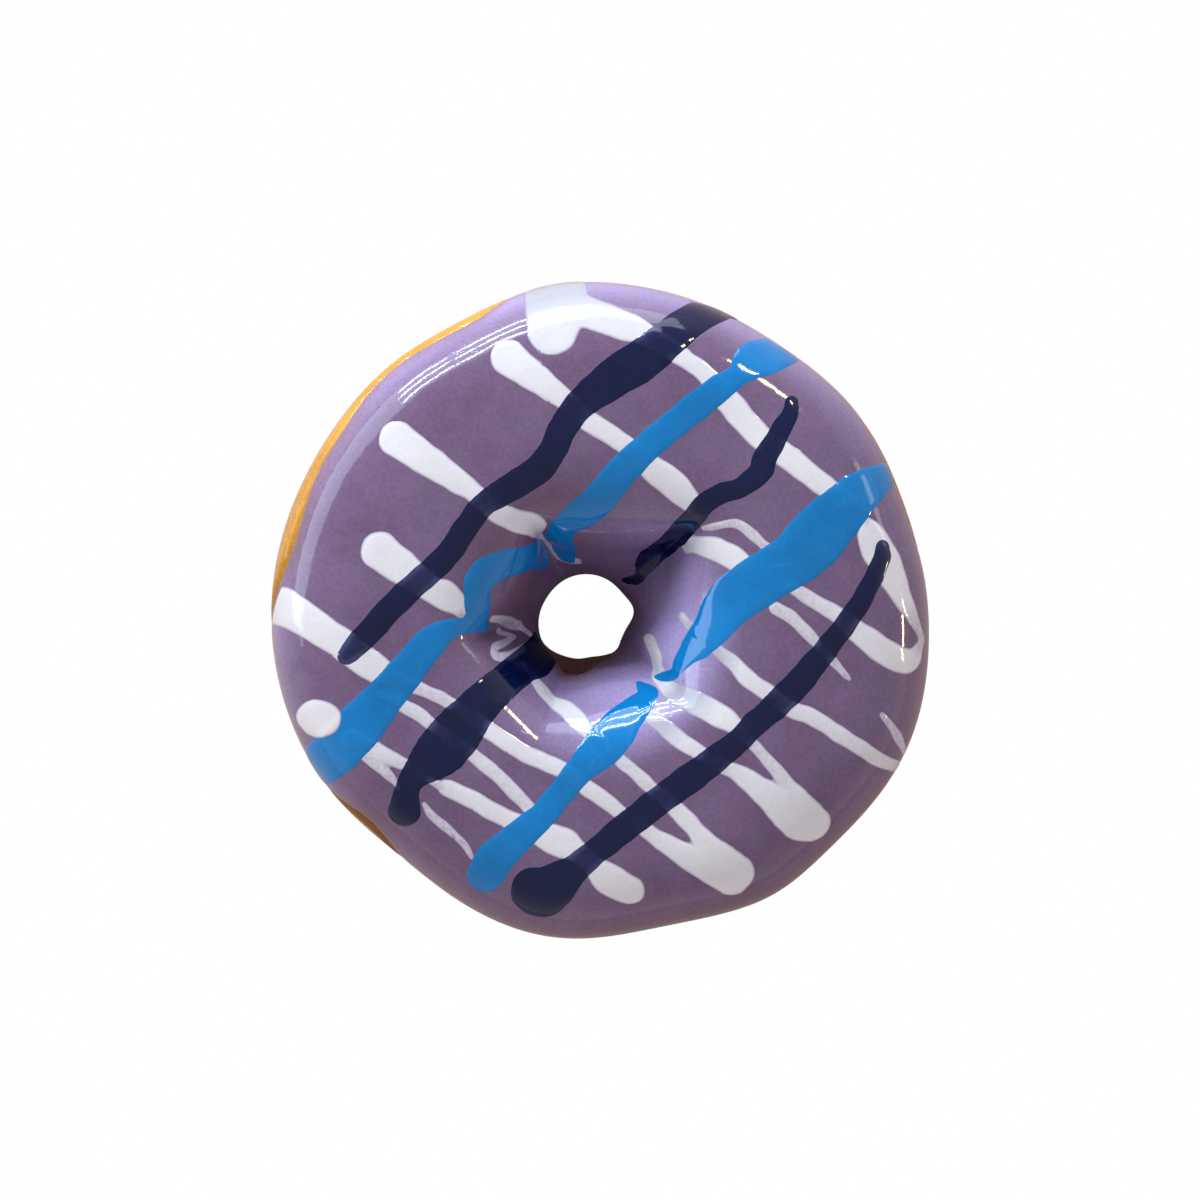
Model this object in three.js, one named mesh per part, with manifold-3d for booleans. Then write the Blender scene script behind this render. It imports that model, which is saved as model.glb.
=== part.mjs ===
// Ceramic ring doughnut: a clay ring under a raised coat of icing, with drizzle lines fused to the coat.
// Millimetres, +Z up, origin at the centre of the flat base.

import * as THREE from 'three';
import { mergeVertices } from 'three/addons/utils/BufferGeometryUtils.js';
import Module from 'manifold-3d';

// Driving dimensions of the ring
const OUTER_RADIUS = 49.5;
const HOLE_RADIUS = 6.6;
const HOLE_CENTRE = { x: -2.1, y: -1.2 };
const HEIGHT = 35;
const WIDEST_HEIGHT = 14;
const THROAT_HEIGHT = 12;
// The crown lies this far across the ring, from the hole's edge at 0 to the outer edge at 1
const CROWN_AT = 0.46;
// The round underside is cut off flat, this far above its lowest point
const BASE_CUT = 2;

// Exponents of the section's four superellipse quarters: 2 is round and more is squarer
const ROUNDNESS = { outerTop: 3.5, innerTop: 2.1, outerLow: 2.6, innerLow: 2.6 };

// The hand-shaped outline and hole leave a true circle in soft waves: degrees, millimetres, degrees
const OUTLINE_WAVES = [
  { at: 230, size: -1.5, half: 15 },
  { at: 281, size: -0.7, half: 11 },
  { at: 20, size: -0.7, half: 13 },
  { at: 57, size: -0.9, half: 16 },
  { at: 117, size: -0.7, half: 12 },
  { at: 336, size: 1.5, half: 19 },
  { at: 302, size: 0.9, half: 10 },
  { at: 260, size: 0.6, half: 12 },
  { at: 97, size: 0.5, half: 12 },
  { at: 186, size: 0.5, half: 26 },
  { at: 147, size: -0.5, half: 20 },
];
const HOLE_WAVES = [
  { at: 212, size: 0.9, half: 26 },
  { at: 180, size: 0.4, half: 24 },
  { at: 8, size: 0.8, half: 17 },
  { at: 338, size: -0.3, half: 18 },
  { at: 278, size: -0.4, half: 16 },
  { at: 310, size: 0.3, half: 10 },
];

// Creases that run out from the hole: degrees, then how far, how deep and how wide they are
const FOLDS = [
  { at: 119, reach: 21, depth: 5, half: 1.9 },
  { at: 187, reach: 22, depth: 3.9, half: 2 },
  { at: 42, reach: 27, depth: 2.6, half: 1.7 },
  { at: 37, reach: 27, depth: 4.8, half: 4.6 },
  { at: 322, reach: 22, depth: 3.4, half: 1.9 },
  { at: 247, reach: 22, depth: 1.8, half: 2.6 },
];
// A crease has a sharp floor, starts to fade at this share of its reach, and spreads on its way out
const CREASE_FLOOR = 0.25;
const FOLD_START = 0.35;
const FOLD_NARROW = 0.6;
const FOLD_SPREAD = 0.8;
// A crease opens over this distance from the hole's centre line
const FOLD_OPEN = 7;
// Creases fade out down the wall of the hole, between these sines of the section's angle
const WALL_FADE = { low: 0.03, high: 0.5 };

// The coat of icing
const COAT_THICKNESS = 1.3;
const COAT_GAP = 0.7;
const COAT_EDGE_DROP = 0.7;
// The hems are angles round the section: 0 at the widest line, half a turn at the hole's throat
const OUTER_HEM = -0.15;
const INNER_HEM = 3.2;
const INNER_HEM_WAVES = [{ at: 260, size: -0.38, half: 40 }];
const OUTER_HEM_WAVES = [
  { at: 167, size: 0.72, half: 17 },
  { at: 142, size: 0.5, half: 14 },
  { at: 124, size: 0.35, half: 10 },
  { at: 112, size: 0.42, half: 9 },
  { at: 222, size: 0.68, half: 12 },
  { at: 22, size: 0.42, half: 30 },
];
// The clay swells back out to its full size within this angle of a hem
const HEM_RAMP = 0.12;

// Grid of the ring and the coat
const TURN_STEPS = 60;
const COAT_STEPS = 14;
const BARE_STEPS = 12;
const HEM_STEP_SHARE = 0.035;

// Drizzle: how far each glaze stands proud of the coat, and how its ribbons are cut into steps
const DRIZZLE_SINK = 0.6;
const DRIZZLE_STEP = 6;
const DRIZZLE_TOP_SHARE = 0.75;
const DRIZZLE_END_REACH = 0.45;
const DRIZZLE_END_WIDTH = 0.4;
const DRIZZLE_HEM_MARGIN = 0.1;
// Past these shares of the way across, drizzle runs down the side by this length for each radian
const THROAT_SHARE = 0.02;
const RIM_SHARE = 0.985;
const SIDE_ARC = 20;
// A wider line follows the skin in its middle too
const WIDE_LINE = 5;
const PROUD = { white: 0.35, blue: 0.5, navy: 0.65 };

// Each line of drizzle, piped by hand: x, y and width at the few places where it bends or swells
const WHITE_LINES = {
  topBlob: [[-7.5, 42, 7.4], [-7, 46, 9.2], [-7, 50.5, 9.6]],
  topBranch: [
    [-5.5, 46, 5.4], [2.5, 43, 4.6], [6, 41.5, 3.8], [14, 36.5, 2.8],
    [18.5, 31.5, 4], [23, 26.5, 3.8], [27, 23.5, 3.8], [36, 16.5, 3.2],
  ],
  second: [
    [-14, 38, 5.4], [-6, 32, 3.4], [-2, 28.5, 3.2], [3.5, 25, 3],
    [7.5, 21.5, 4], [10, 19.5, 4.4], [12.5, 17, 3.6], [13.5, 15, 1.8],
  ],
  secondUpper: [[14.5, 12.5, 0.8], [19.5, 13.5, 1.4], [23.5, 10.5, 1.6], [25.5, 9, 0.8]],
  secondLower: [[11.5, 10, 2.4], [16, 11, 3.6], [21, 8, 3.2], [22, 5.5, 0.8]],
  third: [
    [-30.5, 26, 5.4], [-22.5, 20.5, 4], [-19, 18, 3], [-15.5, 15, 3.2],
    [-10.5, 13, 3.8], [-8.5, 11.5, 2], [-7, 9, 0.8], [-5, 8.5, 1.2], [-3.5, 7.5, 0.8],
  ],
  fourth: [[-33, 9.5, 5.8], [-25.5, 4, 4.2], [-23.5, 3, 4.4], [-21.5, 1.5, 3.2], [-21, 0, 1.2]],
  fifth: [
    [-50.5, 1, 5.8], [-47.5, 1, 6], [-44.5, -0.5, 5.2], [-39, -4, 4.8], [-33.5, -8, 4.4],
    [-30.5, -9.5, 2.4], [-22.5, -13, 2], [-17, -17, 2.6], [-11.5, -20.5, 2.6], [-6, -23, 2.6],
    [-0.5, -27, 2.6], [5, -31, 2.2], [11, -35, 3.6], [19, -39, 6],
  ],
  fifthLower: [[-32.5, -12, 2], [-27.5, -14.5, 2.2], [-25, -16.5, 2], [-16.5, -23, 2.2], [-9.5, -30, 2]],
  sixth: [
    [-37, -18.5, 3.2], [-29.5, -22, 2], [-24.5, -25, 1.4], [-22, -26, 2.8], [-11.5, -31.5, 3],
    [-6.5, -33.5, 4.8], [-4, -35, 3.6], [-1.5, -37, 3.2], [0.5, -39, 4.8], [4, -41, 4.4],
  ],
  sixthLower: [[-35.5, -20.5, 2], [-31.5, -24, 1.4], [-30, -26, 0.6]],
  thinTail: [[-26.5, -28, 0.8], [-25, -30, 1.4], [-21, -33.5, 1.2], [-19.5, -36, 0.8]],
  holeThread: [[-16, -0.5, 1], [-13.5, -1, 1.4], [-8.5, -4.5, 0.6]],
  holeCurl: [[-16.5, -5.5, 1.8], [-15, -6.5, 1.6], [-11, -5, 1.4]],
  seventh: [
    [-11.5, -7.5, 1.2], [-9, -10.5, 1.8], [-5.5, -13.5, 2.6], [-3.5, -16, 2.8], [-1.5, -18, 2],
    [2, -21, 2], [7, -25.5, 2.2], [12, -30, 2.8], [14.5, -33, 3.2], [19.5, -38.5, 6.2],
  ],
  eighth: [
    [7, -4.5, 1.6], [8, -6, 2.6], [8.5, -10.5, 2.4], [10.5, -11.5, 3.2], [16.5, -14.5, 3.8],
    [19.5, -16.5, 2.8], [22, -19, 1.8], [27.5, -25.5, 2.6], [31, -31, 6],
  ],
  eighthLower: [[6.5, -14.5, 2.6], [12, -19, 2.6], [17, -22, 2.2], [21.5, -24.5, 3.2], [29, -30.5, 6.4]],
  ninth: [
    [11, -0.5, 1.2], [16.5, -5, 2], [19, -7, 2.2], [21.5, -9.5, 2.6],
    [28, -14, 2.6], [31.5, -15.5, 2.6], [40, -21, 2.4], [45, -23.5, 1.8],
  ],
  tenth: [[25.5, 1, 2], [28.5, -1, 2], [35, -8, 1.2], [36.5, -9.5, 0.6]],
  loop: [
    [28, 4, 2], [34.5, 0, 2.6], [37, -2, 3.4], [42.5, -6, 4], [45.5, -7, 3.8], [47, -5.5, 2],
    [47.5, -3, 1.2], [44, 3.5, 3.6], [42, 7.5, 5], [40, 11, 4.8], [39, 13.5, 2],
  ],
  rightTick: [[41.5, -15, 0.8], [43.5, -17.5, 1.4], [46, -21.5, 1]],
  leftDrop: [[-43, -15.4, 5.4], [-42.2, -15.4, 5.8], [-41.4, -15.4, 5.4]],
};
const BLUE_LINES = {
  first: [
    [28, 39, 3.6], [25, 38.5, 5.4], [22, 37.5, 5.4], [20, 35.5, 3.2], [16.5, 33, 4.2],
    [9, 27, 4.2], [3.5, 22, 4.6], [-1.5, 16, 5], [-6, 12.5, 3.2], [-7, 9, 2.2],
  ],
  firstTurn: [[-7, 9, 2], [-12.5, 8.5, 3], [-18, 5, 4.6], [-18, -0.5, 3.8]],
  firstLeft: [
    [-16, -2, 1.2], [-18.5, -1.5, 2.2], [-22.5, -2, 3], [-25.5, -4, 4.6],
    [-31, -10.5, 5.6], [-37.5, -18, 7.2], [-42.5, -23, 6.6],
  ],
  second: [
    [45.5, 21, 4.2], [42.5, 20.5, 4], [37.5, 17.5, 6.8], [31.5, 11.5, 8.8], [28.5, 8.5, 8],
    [18.5, 0.5, 6.6], [13, -5, 3.6], [9.5, -9, 1.4], [8, -10, 0.8],
  ],
  third: [
    [7, -11, 2], [7.5, -12.5, 3.2], [5.5, -13.5, 4.2], [3.5, -16, 5.4], [0.5, -19, 6],
    [-4, -23.5, 4.2], [-9, -29.5, 4], [-15.5, -35.5, 5.4], [-17.5, -38.5, 5.6],
  ],
};
const NAVY_LINES = {
  first: [
    [19.5, 47, 4.8], [13, 43.5, 5], [5.5, 37.5, 6.2], [1.5, 35, 5.8], [-4.5, 30, 4.4], [-8, 23.5, 4.2],
    [-11, 20.5, 4.4], [-18, 16, 3.6], [-23, 9, 3.8], [-30, 2.5, 3.8], [-36, -4, 3.6], [-38, -6, 2.6],
  ],
  second: [
    [28, 31.5, 2], [27.5, 29.5, 2.6], [24, 23.5, 3.6], [23, 21, 3.6], [20.5, 19, 3], [17.5, 18, 3],
    [15, 16.5, 3.2], [13, 14, 3.2], [8, 9.5, 2.2], [5.5, 5.5, 2], [3.5, 4.5, 1.8],
  ],
  third: [
    [-7, -4.5, 3.6], [-9, -6.5, 5.2], [-12.5, -8.5, 5], [-18.5, -13.5, 6],
    [-23.5, -19.5, 7.6], [-28.5, -24.5, 3.8], [-29.5, -29, 4.8],
  ],
  fourth: [
    [41.5, 10, 2.2], [41, 7.5, 2.8], [37.5, 1, 3.2], [33, -5, 3.6], [28, -11, 4.2],
    [22, -16.5, 3.8], [19.5, -19, 3.8], [13, -24, 4.4], [9.5, -26.5, 4.4], [2.5, -32, 4.2],
    [-3.5, -37, 4.2], [-8.5, -41, 7.6], [-10, -41, 7.4],
  ],
};

// Numbers of the method: the corrections that find a place in plan, and the step of a slope
const PLAN_PASSES = 12;
const ANGLE_STEP = 0.001;

// Finishes
const OCHRE_CLAY = new THREE.MeshStandardMaterial({ color: 0xd9a054, roughness: 0.3, metalness: 0 });
const PURPLE_GLAZE = new THREE.MeshStandardMaterial({ color: 0x8a729c, roughness: 0.12, metalness: 0 });

// Sum of soft waves at an angle round the ring
function waveSum(theta, waves) {
  let total = 0;
  for (const wave of waves) {
    const away = THREE.MathUtils.euclideanModulo(THREE.MathUtils.radToDeg(theta) - wave.at + 180, 360) - 180;
    total += wave.size * Math.exp(-((away / wave.half) ** 2));
  }
  return total;
}

function outlineRadius(theta) {
  return OUTER_RADIUS + waveSum(theta, OUTLINE_WAVES);
}

function holeRadius(theta) {
  return HOLE_RADIUS + waveSum(theta, HOLE_WAVES);
}

function outerHem(theta) {
  return OUTER_HEM + waveSum(theta, OUTER_HEM_WAVES);
}

function innerHem(theta) {
  return INNER_HEM + waveSum(theta, INNER_HEM_WAVES);
}

// Place in plan for an angle round the ring and a share of the way across it
function planPoint(theta, share) {
  const radius = THREE.MathUtils.lerp(holeRadius(theta), outlineRadius(theta), share);
  return {
    x: HOLE_CENTRE.x * (1 - share) + radius * Math.cos(theta),
    y: HOLE_CENTRE.y * (1 - share) + radius * Math.sin(theta),
  };
}

// The reverse: the angle and the share at a place in plan, found by a few corrections
function planAngleAndShare(x, y) {
  let share = CROWN_AT;
  let theta = 0;
  for (let pass = 0; pass < PLAN_PASSES; pass += 1) {
    const dx = x - HOLE_CENTRE.x * (1 - share);
    const dy = y - HOLE_CENTRE.y * (1 - share);
    theta = Math.atan2(dy, dx);
    const hole = holeRadius(theta);
    share = (Math.hypot(dx, dy) - hole) / (outlineRadius(theta) - hole);
  }
  return { theta, share };
}

// Section of the ring: share across and height at an angle round the section
function sectionPoint(phi) {
  const across = Math.cos(phi);
  const up = Math.sin(phi);
  const outer = across >= 0;
  const top = up >= 0;
  const topExponent = outer ? ROUNDNESS.outerTop : ROUNDNESS.innerTop;
  const lowExponent = outer ? ROUNDNESS.outerLow : ROUNDNESS.innerLow;
  const power = 2 / (top ? topExponent : lowExponent);
  const side = outer ? WIDEST_HEIGHT : THROAT_HEIGHT;
  const reach = outer ? 1 - CROWN_AT : CROWN_AT;
  const rise = top ? HEIGHT - side : side + BASE_CUT;
  return {
    share: CROWN_AT + Math.sign(across) * reach * Math.abs(across) ** power,
    height: side + Math.sign(up) * rise * Math.abs(up) ** power,
  };
}

// Angle round the section, on its upper side, at a share of the way across
function sectionAngle(share) {
  const across = (share - CROWN_AT) / (share >= CROWN_AT ? 1 - CROWN_AT : CROWN_AT);
  const exponent = share >= CROWN_AT ? ROUNDNESS.outerTop : ROUNDNESS.innerTop;
  const cosine = Math.sign(across) * Math.min(1, Math.abs(across)) ** (exponent / 2);
  return Math.acos(cosine);
}

// Depth of the creases round the hole, at a place in plan and a sine of the section's angle
function foldDepth(x, y, rise) {
  const dx = x - HOLE_CENTRE.x;
  const dy = y - HOLE_CENTRE.y;
  const distance = Math.hypot(dx, dy);
  let total = 0;
  for (const fold of FOLDS) {
    const angle = THREE.MathUtils.degToRad(fold.at);
    const along = dx * Math.cos(angle) + dy * Math.sin(angle);
    const aside = -dx * Math.sin(angle) + dy * Math.cos(angle);
    const width = fold.half * (FOLD_NARROW + (FOLD_SPREAD * distance) / fold.reach);
    const fade = 1 - THREE.MathUtils.smoothstep(distance, FOLD_START * fold.reach, fold.reach);
    const valley = Math.exp(CREASE_FLOOR - Math.hypot(aside / width, CREASE_FLOOR));
    total += fold.depth * fade * valley * THREE.MathUtils.smoothstep(along, 0, FOLD_OPEN);
  }
  return total * THREE.MathUtils.smoothstep(rise, WALL_FADE.low, WALL_FADE.high);
}

// A point of the doughnut's skin, moved out by lift along the section's normal
function skinPoint(theta, phi, lift) {
  const here = sectionPoint(phi);
  const before = sectionPoint(phi - ANGLE_STEP);
  const after = sectionPoint(phi + ANGLE_STEP);
  const span = outlineRadius(theta) - holeRadius(theta);
  const dShare = (after.share - before.share) * span;
  const dHeight = after.height - before.height;
  const length = Math.hypot(dShare, dHeight);
  const plan = planPoint(theta, here.share);
  const move = lift - foldDepth(plan.x, plan.y, Math.sin(phi));
  const outward = (move * dHeight) / length;
  const upward = (-move * dShare) / length;
  return new THREE.Vector3(
    plan.x + outward * Math.cos(theta),
    plan.y + outward * Math.sin(theta),
    Math.max(0, here.height + upward),
  );
}

// Closed mesh from rows of points: each row is a closed loop, and the rows close round or are capped
function meshFromRows(rows, closedRound) {
  const positions = [];
  const triangles = [];
  const rowLength = rows[0].length;
  for (const point of rows.flat()) positions.push(point.x, point.y, point.z);
  const lastRow = closedRound ? rows.length : rows.length - 1;
  for (let i = 0; i < lastRow; i += 1) {
    const next = (i + 1) % rows.length;
    for (let k = 0; k < rowLength; k += 1) {
      const after = (k + 1) % rowLength;
      const a = i * rowLength + k;
      const b = next * rowLength + k;
      const c = next * rowLength + after;
      const d = i * rowLength + after;
      triangles.push(a, b, c, a, c, d);
    }
  }
  if (!closedRound) {
    const end = (rows.length - 1) * rowLength;
    for (let k = 1; k < rowLength - 1; k += 1) {
      triangles.push(0, k, k + 1);
      triangles.push(end, end + k + 1, end + k);
    }
  }
  const geometry = new THREE.BufferGeometry();
  geometry.setAttribute('position', new THREE.Float32BufferAttribute(positions, 3));
  geometry.setIndex(triangles);
  return geometry;
}

// Angles round the section under the coat, with a short step beside each hem
function coatAngles(theta) {
  const start = outerHem(theta);
  const shares = [0, HEM_STEP_SHARE];
  for (let k = 1; k < COAT_STEPS - 2; k += 1) shares.push(k / (COAT_STEPS - 2));
  shares.push(1 - HEM_STEP_SHARE, 1);
  return shares.map((share) => THREE.MathUtils.lerp(start, innerHem(theta), share));
}

// Clay ring: it lies lower under the coat, and swells out to its full size past the hems
function ringGeometry() {
  const bury = COAT_THICKNESS + COAT_GAP;
  const rows = [];
  for (let i = 0; i < TURN_STEPS; i += 1) {
    const theta = (i / TURN_STEPS) * 2 * Math.PI;
    const row = coatAngles(theta).map((phi) => skinPoint(theta, phi, -bury));
    const start = innerHem(theta);
    const end = outerHem(theta) + 2 * Math.PI;
    for (let k = 1; k < BARE_STEPS; k += 1) {
      const share = (1 - Math.cos((Math.PI * k) / BARE_STEPS)) / 2;
      const phi = THREE.MathUtils.lerp(start, end, share);
      const fromHem = Math.min(phi - start, end - phi);
      const lift = -bury * (1 - THREE.MathUtils.smoothstep(fromHem, 0, HEM_RAMP));
      row.push(skinPoint(theta, phi, lift));
    }
    rows.push(row);
  }
  return meshFromRows(rows, true);
}

// Coat of icing: a skin over the ring with rounded hems
function coatGeometry() {
  const rows = [];
  for (let i = 0; i < TURN_STEPS; i += 1) {
    const theta = (i / TURN_STEPS) * 2 * Math.PI;
    const angles = coatAngles(theta);
    const last = angles.length - 1;
    const lifts = angles.map((phi, k) => (k === 0 || k === last ? -COAT_EDGE_DROP : 0));
    const outside = angles.map((phi, k) => skinPoint(theta, phi, lifts[k]));
    const inside = angles.map((phi) => skinPoint(theta, phi, -COAT_THICKNESS));
    rows.push([...outside, ...inside.reverse()]);
  }
  return meshFromRows(rows, true);
}

// A point of drizzle above a place in plan. Past the rim it runs down the side, but never past the hem.
function drizzlePoint(x, y, lift) {
  const { theta, share } = planAngleAndShare(x, y);
  const span = outlineRadius(theta) - holeRadius(theta);
  const rimShare = THREE.MathUtils.clamp(share, THROAT_SHARE, RIM_SHARE);
  const down = ((share - rimShare) * span) / SIDE_ARC;
  const phi = THREE.MathUtils.clamp(
    sectionAngle(rimShare) - down,
    outerHem(theta) + DRIZZLE_HEM_MARGIN,
    innerHem(theta) - DRIZZLE_HEM_MARGIN,
  );
  return skinPoint(theta, phi, lift);
}

// Ribbon along a line of drizzle, with sloping sides, its foot sunk into the coat and its ends drawn in
function ribbonGeometry(line, proud) {
  const bends = line.map(([x, y, width]) => new THREE.Vector3(x, y, width));
  const curve = new THREE.CatmullRomCurve3(bends, false, 'catmullrom');
  const steps = Math.max(2, Math.ceil(curve.getLength() / DRIZZLE_STEP));
  const places = curve.getSpacedPoints(steps);
  const stations = places.map((place, i) => {
    const before = places[Math.max(0, i - 1)];
    const after = places[Math.min(places.length - 1, i + 1)];
    const ahead = new THREE.Vector2(after.x - before.x, after.y - before.y).normalize();
    return { x: place.x, y: place.y, width: place.z, ahead };
  });
  const drawnIn = (station, way) => ({
    x: station.x + way * DRIZZLE_END_REACH * station.width * station.ahead.x,
    y: station.y + way * DRIZZLE_END_REACH * station.width * station.ahead.y,
    width: station.width * DRIZZLE_END_WIDTH,
    ahead: station.ahead,
  });
  const all = [drawnIn(stations[0], -1), ...stations, drawnIn(stations[stations.length - 1], 1)];
  const wide = Math.max(...line.map((bend) => bend[2])) > WIDE_LINE;
  const profile = [
    [-1, -DRIZZLE_SINK],
    [-DRIZZLE_TOP_SHARE, proud],
    ...(wide ? [[0, proud]] : []),
    [DRIZZLE_TOP_SHARE, proud],
    [1, -DRIZZLE_SINK],
    ...(wide ? [[0, -DRIZZLE_SINK]] : []),
  ];
  const rows = all.map((station) => profile.map(([side, lift]) => drizzlePoint(
    station.x - (side * station.width * station.ahead.y) / 2,
    station.y + (side * station.width * station.ahead.x) / 2,
    lift,
  )));
  return meshFromRows(rows, false);
}

const manifoldLibrary = await Module();
manifoldLibrary.setup();

function toSolid(geometry) {
  const merged = mergeVertices(geometry);
  return new manifoldLibrary.Manifold(new manifoldLibrary.Mesh({
    numProp: 3,
    vertProperties: merged.attributes.position.array,
    triVerts: new Uint32Array(merged.index.array),
  }));
}

function fromSolid(solid) {
  const mesh = solid.getMesh();
  const geometry = new THREE.BufferGeometry();
  geometry.setAttribute('position', new THREE.BufferAttribute(mesh.vertProperties, 3));
  geometry.setIndex(new THREE.BufferAttribute(mesh.triVerts, 1));
  return geometry;
}

// Icing: the coat with every line of drizzle joined to it, and any pocket under a line filled
function icingGeometry() {
  let solid = toSolid(coatGeometry());
  const glazes = [
    [WHITE_LINES, PROUD.white],
    [BLUE_LINES, PROUD.blue],
    [NAVY_LINES, PROUD.navy],
  ];
  for (const [lines, proud] of glazes) {
    for (const line of Object.values(lines)) solid = solid.add(toSolid(ribbonGeometry(line, proud)));
  }
  const pieces = solid.decompose();
  pieces.sort((one, other) => other.volume() - one.volume());
  return fromSolid(pieces[0]);
}

function namedMesh(name, geometry, material) {
  geometry.computeVertexNormals();
  const mesh = new THREE.Mesh(geometry, material);
  mesh.name = name;
  return mesh;
}

const group = new THREE.Group();
group.add(namedMesh('ring', ringGeometry(), OCHRE_CLAY));
group.add(namedMesh('icing', icingGeometry(), PURPLE_GLAZE));

export default group;
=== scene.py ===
# %% [markdown]
# The frame. A glazed ceramic ring doughnut lies flat and is seen from above. The CAD solids are loaded
# first, because every piece made here has to lie where they lie.

from math import cos, pi, radians, sin

import bmesh
import bpy
import numpy as np
from mathutils import Matrix, Vector


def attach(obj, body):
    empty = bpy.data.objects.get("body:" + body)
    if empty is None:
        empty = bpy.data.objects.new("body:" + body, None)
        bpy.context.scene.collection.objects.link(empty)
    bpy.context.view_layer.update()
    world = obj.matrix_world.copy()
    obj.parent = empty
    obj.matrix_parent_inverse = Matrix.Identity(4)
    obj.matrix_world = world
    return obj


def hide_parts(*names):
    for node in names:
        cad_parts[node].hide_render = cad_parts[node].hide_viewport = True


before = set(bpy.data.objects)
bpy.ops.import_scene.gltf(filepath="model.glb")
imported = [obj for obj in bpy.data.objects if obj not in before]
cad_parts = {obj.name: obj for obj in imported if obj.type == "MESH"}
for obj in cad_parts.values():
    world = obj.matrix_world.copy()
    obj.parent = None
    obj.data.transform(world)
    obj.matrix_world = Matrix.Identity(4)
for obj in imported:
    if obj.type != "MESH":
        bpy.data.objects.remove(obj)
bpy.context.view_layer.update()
MM = 0.001
print("nodes", sorted(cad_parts))

# %% [markdown]
# The driving sizes, in millimetres. They are the ones of the solids: a ring with a hand-shaped outline,
# a small hole off the middle, creases that run out from the hole, and a raised coat with a wavy hem.
# An outline could be drawn point by point. Here it is a circle with a few soft waves, each one named by
# the angle where it sits, because that keeps the true shape of something squeezed by hand.

# %% Sizes of the ring and its coat
OUTER_RADIUS = 49.5
HOLE_RADIUS = 6.6
HOLE_X = -2.1
HOLE_Y = -1.2
HEIGHT = 35.0
# Heights at which the section is widest, outside and in the hole
WIDEST_HEIGHT = 14.0
THROAT_HEIGHT = 12.0
# The section is highest at this share of the way from the hole to the rim
CROWN_AT = 0.46
# It would reach this far below the floor, where it is cut flat
BASE_CUT = 2.0
# Exponents of its four quarters
OUTER_TOP, INNER_TOP, OUTER_LOW, INNER_LOW = 3.5, 2.1, 2.6, 2.6

# Waves: angle in degrees, size, half-width in degrees. A hem's sizes are in radians, the others in mm.
OUTLINE_WAVES = [
    (230, -1.5, 15), (281, -0.7, 11), (20, -0.7, 13), (57, -0.9, 16), (117, -0.7, 12), (336, 1.5, 19),
    (302, 0.9, 10), (260, 0.6, 12), (97, 0.5, 12), (186, 0.5, 26), (147, -0.5, 20),
]
HOLE_WAVES = [
    (212, 0.9, 26), (180, 0.4, 24), (8, 0.8, 17), (338, -0.3, 18), (278, -0.4, 16), (310, 0.3, 10),
]
# Creases: angle, reach from the hole's centre, depth, half-width
FOLDS = [
    (119, 21.0, 5.0, 1.9), (187, 22.0, 3.9, 2.0), (42, 27.0, 2.6, 1.7), (37, 27.0, 4.8, 4.6),
    (322, 22.0, 3.4, 1.9), (247, 22.0, 1.8, 2.6),
]
# Shallow dents of the top: x, y, depth, half-width along x and along y. A negative depth is a swelling.
DENTS = [
    (-35, 17, 0.35, 5, 8), (-20, 27, 0.25, 9, 7), (20, 28, 0.3, 10, 7), (34, -8, 0.25, 6, 9),
    (8, -33, 0.3, 11, 6), (-28, -12, 0.25, 7, 8), (-37, 4, -0.3, 4, 5), (27, 8, -0.25, 7, 6),
]
COAT_THICKNESS = 1.3
# Under the coat the clay lies this far below the skin, and it swells back past the hem over this angle
CLAY_BELOW_COAT = 2.0
HEM_RAMP = 0.12
# The hems are angles round the section, in radians
OUTER_HEM = -0.15
INNER_HEM = 3.2
INNER_HEM_WAVES = [(260, -0.38, 40)]
OUTER_HEM_WAVES = [
    (167, 0.72, 17), (142, 0.5, 14), (124, 0.35, 10), (112, 0.42, 9), (222, 0.68, 12), (22, 0.42, 30),
]
print("across", 2 * OUTER_RADIUS, "high", HEIGHT)

# %% [markdown]
# The skin of the doughnut is a function of two angles: theta goes round the ring and phi goes round its
# section. The functions work on whole arrays at once, because a mesh here has tens of thousands of
# points and a loop over them would be slow.

# %% Outline, hole and hems
def waves(theta, rows):
    total = np.zeros_like(theta)
    for at, size, half in rows:
        away = (theta - radians(at) + pi) % (2 * pi) - pi
        total += size * np.exp(-(away / radians(half)) ** 2)
    return total


def outline_radius(theta):
    return OUTER_RADIUS + waves(theta, OUTLINE_WAVES)


def hole_radius(theta):
    return HOLE_RADIUS + waves(theta, HOLE_WAVES)


def outer_hem(theta):
    return OUTER_HEM + waves(theta, OUTER_HEM_WAVES)


def inner_hem(theta):
    return INNER_HEM + waves(theta, INNER_HEM_WAVES)


def plan_place(theta, share):
    radius = hole_radius(theta) * (1 - share) + outline_radius(theta) * share
    return HOLE_X * (1 - share) + radius * np.cos(theta), HOLE_Y * (1 - share) + radius * np.sin(theta)


# %% [markdown]
# The section of the ring. A circle would look like a tyre. A hand-pressed ring is flatter on top and
# rounder into the hole, so each quarter of the section is a superellipse with an exponent of its own.

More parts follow.
